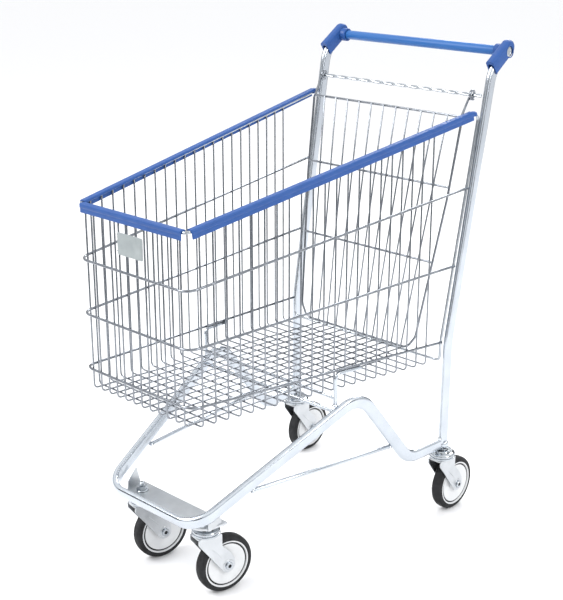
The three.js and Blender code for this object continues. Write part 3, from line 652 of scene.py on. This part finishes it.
def bracket_body(side, sign, along, across, end, axis):
    """The moulded bracket: a capsule-shaped body with a socket for the post and a round window."""
    r, w, mouth = BRACKET_END_R, BRACKET_WIDTH / 2, BRACKET_LENGTH
    flare = 0.9

    def outline(inset):
        mouth_half = r + flare - inset
        return arc(0, 0, r - inset, -90, 90, 20) + [(-mouth, mouth_half), (-mouth, -mouth_half)]
    basis = Matrix(((0, 0, 1, 0), (along[1], across[1], 0, 0), (along[2], across[2], 0, 0), (0, 0, 0, 1)))
    centre = end + across * BRACKET_LIFT
    place = Matrix.Translation((sign * HANDLE_X - w, centre[1], centre[2])) @ basis
    body = build("bracket_body_" + side, [soft_plate(outline, 2 * w, 6.5, place)], BLUE, "frame",
                 ["handle_bracket_" + side])
    window = [(0.0001, -3.6), (WINDOW_R, -3.6), (WINDOW_R, 6), (0.0001, 6)]
    cut(body, lathe(window, 64, facing_out(sign, sign * (HANDLE_X + w), axis)))
    mouth_centre = end - along * (mouth - 2) + np.array([sign * HANDLE_X, 0, 0])
    socket = sweep([mouth_centre - along * 10, mouth_centre + along * 6],
                   oval(POST_SHORT + 1.4, POST_LONG + 1.4), np.array([0.0, 1.0, 0.0]))
    cut(body, socket)
    dress(body, BLUE, 40, 0.5)


def bracket_fittings(side, sign, axis):
    """The collar round the grip's end, the lip of the window and the plug in it."""
    inner = facing_out(sign, sign * (HANDLE_X - BRACKET_WIDTH / 2 + 1.0), axis)
    outer = facing_out(sign, sign * (HANDLE_X + BRACKET_WIDTH / 2), axis)
    collar = [(10.9, -16), (14.0, -16), (14.9, -14.8), (14.9, 0), (10.9, 0)]
    build("bracket_collar_" + side, [lathe(collar, 56, inner)], BLUE, "frame")
    lip = [(11.7, -1.0), (13.6, -1.0), (13.6, 0.2), (13.0, 0.9), (12.2, 0.9), (11.7, 0.3)]
    build("bracket_lip_" + side, [lathe(lip, 56, outer)], BLUE, "frame")
    disc = [(0.001, -3.5), (11.6, -3.5), (11.6, -2.2), (10.2, -1.2), (5.5, -1.2), (4.6, -2.0), (0.001, -2.0)]
    build("plug_" + side, [lathe(disc, 56, outer)], BRIGHT, "frame", ["handle_plug_" + side])


def cut(obj, cutter_data):
    """Cuts a closed mesh out of an object, for good."""
    vertices, faces = cutter_data
    mesh = bpy.data.meshes.new("cutter")
    mesh.from_pydata([tuple(float(c) * MM for c in v) for v in vertices], [], faces)
    made = bmesh.new()
    made.from_mesh(mesh)
    bmesh.ops.remove_doubles(made, verts=made.verts, dist=1e-6)
    bmesh.ops.recalc_face_normals(made, faces=made.faces)
    made.to_mesh(mesh)
    made.free()
    cutter = bpy.data.objects.new("cutter", mesh)
    bpy.context.scene.collection.objects.link(cutter)
    step = obj.modifiers.new("cut", "BOOLEAN")
    step.operation = "DIFFERENCE"
    step.solver = "EXACT"
    step.object = cutter
    bpy.context.view_layer.update()
    evaluated = obj.evaluated_get(bpy.context.evaluated_depsgraph_get())
    result = bpy.data.meshes.new_from_object(evaluated)
    obj.modifiers.clear()
    obj.data = result
    bpy.data.objects.remove(cutter)


# ------------------------------------------------------------------ casters
def caster(name, x, y, turn, stem_heights):
    place = Matrix.Translation((x, y, 0)) @ Matrix.Rotation(math.radians(turn), 4, "Z")
    wheel(name, place @ along_x(0, TRAIL, WHEEL_R))
    swivel = name + "_swivel"
    build(name + "_fork_pressed", fork_pieces(place), FORK, swivel, [name + "_fork"], bevel=0.9)
    bolt(name, place, swivel)
    ball_race(name, place, swivel)
    stem(name, place, *stem_heights)


def wheel(name, axle):
    """The tyre, the dished hub and a ring of painted shade in the groove round the hub, on an axle placed by
    a matrix.
    """
    half, rolling = WHEEL_HALF, name + "_wheel"
    tread = [(50.4, 1.0 - half), (52.0, 0.3 - half), (55.5, -half), (58.5, 0.9 - half), (60.8, 2.8 - half),
             (62.0, 5.4 - half), (WHEEL_R, 9 - half)]
    build(name + "_tyre_round", [lathe(both_faces(tread), 96, axle)], TYRE, rolling, [name + "_tyre"])
    face = [(5.4, half), (13.5, half), (15.0, half - 0.8), (16.5, half - 3.2), (20.0, half - 3.8),
            (38.0, half - 2.6), (43.0, half - 1.5), (44.0, half - 1.7), (44.4, half - 3.6),
            (47.4, half - 3.6), (47.8, half - 1.4), (48.6, half - 0.2), (50.8, half - 0.2),
            (51.3, half - 1.2)]
    build(name + "_hub_round", [lathe(both_faces(face), 96, axle)], HUB, rolling, [name + "_hub"])
    # Dark rings set into the hub's grooves are painted shade.
    groove_shade = []
    for sign in (1, -1):
        high, low = sign * (half - 2.8), sign * (half - 4.0)
        groove_shade.append(lathe([(44.2, high), (47.5, high), (47.5, low), (44.2, low)], 96, axle))
    build(name + "_hub_groove_painted_shade", groove_shade, RECESS_SHADE, rolling)


def both_faces(profile):
    """A lathe profile followed by its mirror image, so that both faces of a wheel are alike."""
    return profile + [(r, -z) for r, z in reversed(profile)]


def ball_race(name, place, body):
    low, high = FORK_TOP - 0.2, RACE_TOP - 0.3
    race = [(7, low), (27.5, low), (29.4, low + 1.2), (29.8, low + 3.2), (29.2, low + 5.0), (27.4, low + 5.9),
            (27.4, low + 7.1), (28.8, low + 7.8), (29.3, low + 9.6), (28.6, low + 12.0), (26.0, low + 14.0),
            (22.6, low + 15.2), (21.8, low + 17.4), (20.2, high), (7, high)]
    build(name + "_race", [lathe(race, 72, place)], BRIGHT, body, [name + "_swivel_head"])


def stem(name, place, seat, nut_top, tip):
    """A shank and a washer, and where there is room above the washer, a nut and a threaded end."""
    washer_top = seat + 2.5
    washer = [(5, seat), (12.8, seat), (13.4, seat + 0.6), (13.4, washer_top - 0.6), (12.8, washer_top),
              (5, washer_top)]
    shank = [(0.01, FORK_TOP + 0.6), (6.4, FORK_TOP + 0.6), (6.4, seat + 1), (0.01, seat + 1)]
    pieces = [lathe(washer, 48, place), lathe(shank, 36, place)]
    if nut_top > seat + 4:
        hexagon = arc(0, 0, 11.0, 12, 312, 5)
        pieces.append(plate(hexagon, nut_top - washer_top, place @ Matrix.Translation((0, 0, washer_top))))
        thread = [(0.01, nut_top - 1)]
        z = nut_top - 1
        while z < tip - 1.6:
            thread += [(4.5, z), (5.2, z + 0.5), (5.2, z + 0.7), (4.5, z + 1.2)]
            z += 1.25
        thread += [(4.2, tip - 0.6), (3.4, tip), (0.01, tip)]
        pieces.append(lathe(thread, 36, place))
    build(name + "_stem_round", pieces, BRIGHT, "frame", [name + "_stem"])


def fork_pieces(place):
    """Two legs with a dished seat and a pressed ridge each, under a top plate with round corners."""
    front_y, back_y = -28.0, 27.0
    leg = fork_leg_outline(front_y, back_y)
    ridge = [(6.0, FORK_TOP - 34), (1.0, FORK_TOP - 30), (24.0, WHEEL_R + 22), (30.0, WHEEL_R + 20)]
    ridge_high = 0.9
    dish = [(8.5, -0.2), (13.4, -0.2), (12.4, 1.1), (8.5, 1.1)]
    outer = FORK_INNER_X + FORK_THICK
    pieces = []
    for sign in (-1, 1):
        leg_x, ridge_x = (FORK_INNER_X, outer) if sign > 0 else (-outer, -outer - ridge_high)
        seat = along_x(sign * outer, TRAIL, WHEEL_R) @ Matrix.Diagonal((1, 1, sign, 1))
        pieces.append(plate(leg, FORK_THICK, place @ upright(leg_x)))
        pieces.append(lathe(dish, 40, place @ seat))
        pieces.append(plate(ridge, ridge_high, place @ upright(ridge_x)))
    top = []
    corner = 9.0
    right, left, back, front = outer - corner, corner - outer, back_y - corner, front_y + corner
    for x, y, start in ((right, back, 0), (left, back, 90), (left, front, 180), (right, front, 270)):
        top += arc(x, y, corner, start, start + 90, 5)
    pieces.append(plate(top, FORK_THICK, place @ Matrix.Translation((0, 0, FORK_TOP - FORK_THICK))))
    return pieces


def fork_leg_outline(front_y, back_y):
    """A leg seen from the side, as (y, z): a round boss at the axle, widening up to the top plate."""
    boss = 16.2
    outline = arc(front_y + 5, FORK_TOP - 5, 5, 90, 180, 5) + [(front_y, FORK_TOP - 13)]
    outline += arc(TRAIL, WHEEL_R, boss, 206, 352, 22)
    outline += [(TRAIL + 14.5, WHEEL_R + 14), (back_y + 20.6, FORK_TOP - 51)]
    outline += arc(back_y + 9, FORK_TOP - 26, 9, 250, 180, 6)
    outline += arc(back_y - 5, FORK_TOP - 5, 5, 0, 90, 5)
    return outline


def upright(x):
    """Stands a plate that is drawn as (y, z) upright, with its lower face at x."""
    return Matrix(((0, 0, 1, x), (1, 0, 0, 0), (0, 1, 0, 0), (0, 0, 0, 1)))


def bolt(name, place, body):
    seat = FORK_INNER_X + FORK_THICK
    head = [(4.0, 0), (9.6, 0), (10.0, 0.5), (10.0, 1.3), (8.2, 1.5), (8.2, 4.1), (7.6, 4.8), (4.0, 4.8),
            (4.0, 2.0)]
    # A dark hexagon at the bottom of each bolt head's hole is painted shade in the socket.
    socket = [(0.01, 1.6), (4.3, 1.6), (4.3, 2.6), (0.01, 2.6)]
    heads, socket_shade = [], []
    for sign in (1, -1):
        side = place @ along_x(sign * seat, TRAIL, WHEEL_R) @ Matrix.Diagonal((1, 1, sign, 1))
        heads.append(lathe(head, 40, side))
        socket_shade.append(lathe(socket, 6, side))
    shank = [(0.01, -seat - 1), (5.0, -seat - 1), (5.0, seat + 1), (0.01, seat + 1)]
    heads.append(lathe(shank, 32, place @ along_x(0, TRAIL, WHEEL_R)))
    build(name + "_bolt_heads", heads, BRIGHT, body, [name + "_axle_bolt"])
    build(name + "_bolt_socket_painted_shade", socket_shade, RECESS_SHADE, body)


def casters():
    ends = {"front": (FRONT_CASTER, FRONT_STEM), "rear": (REAR_CASTER, REAR_STEM)}
    for side, sign in SIDES.items():
        for end, ((x, y, turn), stem_heights) in ends.items():
            caster(end + "_" + side, sign * x, y, turn, stem_heights)


def front_caster_plate():
    """The CAD piece's own shape is shown."""
    dress(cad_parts["front_caster_plate"], FORK, 30, 0.8)


# ------------------------------------------------------------------ stage
def stage():
    studio_floor()
    studio_world()
    area_light("key", (-1.6, -2.6, 3.4), (0, 0, 0.5), (1.8, 1.8), 120)
    area_light("side", (3.4, 0.4, 2.2), (0, 0, 0.5), (1.0, 2.4), 60)
    area_light("rear", (-1.0, 3.2, 2.8), (0, 0, 0.6), (2.4, 1.0), 70)
    reflection_cards()


def studio_floor():
    mat, _, _, bsdf = new_material("studio_floor")
    bsdf.inputs["Base Color"].default_value = (0.86, 0.86, 0.87, 1)
    bsdf.inputs["Roughness"].default_value = 0.55
    bpy.ops.mesh.primitive_plane_add(size=40)
    floor = bpy.context.object
    floor.name = "studio_floor"
    floor.data.materials.append(mat)


def studio_world():
    """A white dome that is greyer near the horizon, so that upright metal has some shade to reflect."""
    world = bpy.data.worlds.new("studio")
    bpy.context.scene.world = world
    world.use_nodes = True
    nodes, links = world.node_tree.nodes, world.node_tree.links
    where = nodes.new("ShaderNodeTexCoord")
    split = nodes.new("ShaderNodeSeparateXYZ")
    tones = nodes.new("ShaderNodeValToRGB")
    tones.color_ramp.elements[0].position = 0.0
    tones.color_ramp.elements[0].color = (0.80, 0.82, 0.85, 1)
    tones.color_ramp.elements[1].position = 1.0
    tones.color_ramp.elements[1].color = (1.0, 1.0, 1.0, 1)
    for place, tone in ((0.10, 0.60), (0.36, 0.66), (0.58, 1.0)):
        element = tones.color_ramp.elements.new(place)
        element.color = (tone * 0.98, tone * 0.99, tone, 1)
    links.new(where.outputs["Generated"], split.inputs["Vector"])
    links.new(split.outputs["Z"], tones.inputs["Fac"])
    links.new(tones.outputs["Color"], nodes["Background"].inputs["Color"])
    nodes["Background"].inputs["Strength"].default_value = 1.25


def area_light(name, place, target, size, energy):
    """A rectangular light in metres and watts, turned towards a target."""
    light = bpy.data.lights.new(name, "AREA")
    light.shape = "RECTANGLE"
    light.size, light.size_y = size
    light.energy = energy
    obj = bpy.data.objects.new(name, light)
    bpy.context.scene.collection.objects.link(obj)
    obj.location = place
    obj.rotation_euler = (Vector(target) - Vector(place)).to_track_quat("-Z", "Y").to_euler()


def reflection_cards():
    """Dark upright cards that show only as reflections, so that bright metal has edges on a pale floor."""
    mat, _, _, bsdf = new_material("dark_card")
    bsdf.inputs["Base Color"].default_value = (0.03, 0.032, 0.036, 1)
    bsdf.inputs["Roughness"].default_value = 1.0
    distance = 3.6
    for k, angle in enumerate((15, 95, 160, 235, 300)):
        turn = math.radians(angle)
        place = (distance * math.cos(turn), distance * math.sin(turn), 1.0)
        facing = (math.pi / 2, 0, turn + math.pi / 2)
        bpy.ops.mesh.primitive_plane_add(size=1, location=place, rotation=facing)
        card = bpy.context.object
        card.name = "dark_card_%d" % k
        card.scale = (1.7, 2.0, 1)
        card.data.materials.append(mat)
        card.visible_camera = False
        card.visible_diffuse = False
        card.visible_shadow = False


def plain_tones():
    """Shows colours as they are lit, so that the studio white stays white."""
    bpy.context.scene.view_settings.view_transform = "Standard"


def camera():
    azimuth, elevation = math.radians(43.971), math.radians(18.714)
    data = bpy.data.cameras.new("camera")
    data.lens = 73.40
    data.sensor_width = 36.0
    data.shift_x, data.shift_y = 0.0009, 0.0025
    data.clip_end = 100
    obj = bpy.data.objects.new("camera", data)
    bpy.context.scene.collection.objects.link(obj)
    obj.location = (1.7218, -1.8154, 1.3723)
    obj.rotation_euler = (math.pi / 2 - elevation, 0, azimuth)
    bpy.context.scene.camera = obj


plain_tones()
basket()
edge_wire()
rim_profiles()
tag_plate()
chassis()
posts()
support_frame()
gate()
hinge_bar()
handle()
casters()
front_caster_plate()
stage()
camera()
